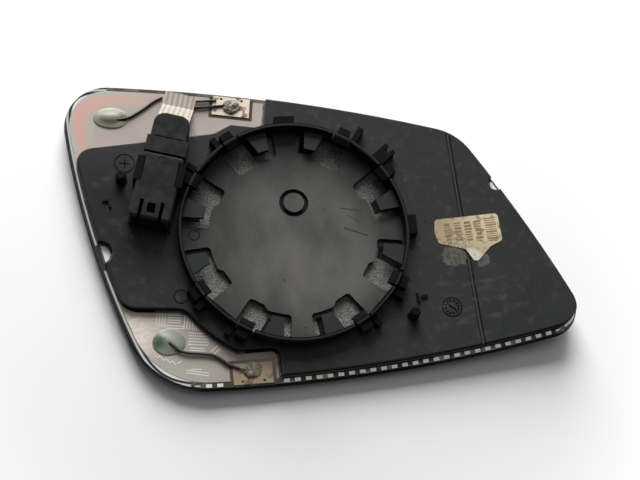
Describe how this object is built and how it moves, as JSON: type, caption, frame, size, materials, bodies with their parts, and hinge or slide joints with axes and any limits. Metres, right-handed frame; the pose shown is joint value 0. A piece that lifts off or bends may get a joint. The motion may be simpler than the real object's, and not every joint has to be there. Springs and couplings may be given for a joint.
{
  "type": "car door mirror glass",
  "caption": "Convex self-dimming car door mirror glass with a heater foil, wiring and connector, and a black carrier whose clip ring snaps onto the actuator.",
  "frame": {"origin": "centre of the clip ring on the carrier's back face", "axes": "+Z out of the back, along the ring's axis; +X along the lower edge towards the outboard end; +Y towards the upper edge"},
  "size_m": [0.1736, 0.1248, 0.0173],
  "materials": {
    "clear_glass": "polished, ground edge",
    "mirror_glass": "polished",
    "seal": "cured sealant",
    "gel": "clear gel",
    "contact_strip": "satin",
    "heater_foil": "foil",
    "adhesive": "grained",
    "carrier": "fine grain, dusty",
    "connector": "smooth",
    "pins": "plated",
    "ribbon": "silvery, striped",
    "contact_plate": "stained by flux",
    "solder": "dull",
    "potting": "resin",
    "insulation": "smooth",
    "copper": "bare",
    "bare_lead": "tinned",
    "paper": "aged paper"
  },
  "bodies": {
    "root": {"front_glass": "clear_glass", "edge_seal": "seal", "dimming_gel": "gel", "rear_glass": "mirror_glass", "upper_bus_clip": "contact_strip", "lower_bus_clip": "contact_strip", "heater_foil": "heater_foil", "adhesive_sheet": "adhesive", "carrier_plate": "carrier", "connector_housing": "connector", "connector_cap": "connector", "ribbon_cable": "ribbon", "upper_contact_plate": "contact_plate", "lower_contact_plate": "contact_plate", "upper_solder": "solder", "lower_solder": "solder", "upper_potting": "potting", "lower_potting": "potting", "upper_insulation": "insulation", "upper_conductor": "copper", "lower_insulation": "insulation", "lower_conductor": "copper", "outer_lead": "bare_lead", "inner_lead": "bare_lead", "paper_label": "paper", "contact_pin_1": "pins", "contact_pin_2": "pins", "contact_pin_3": "pins", "contact_pin_4": "pins"}
  },
  "joints": []
}
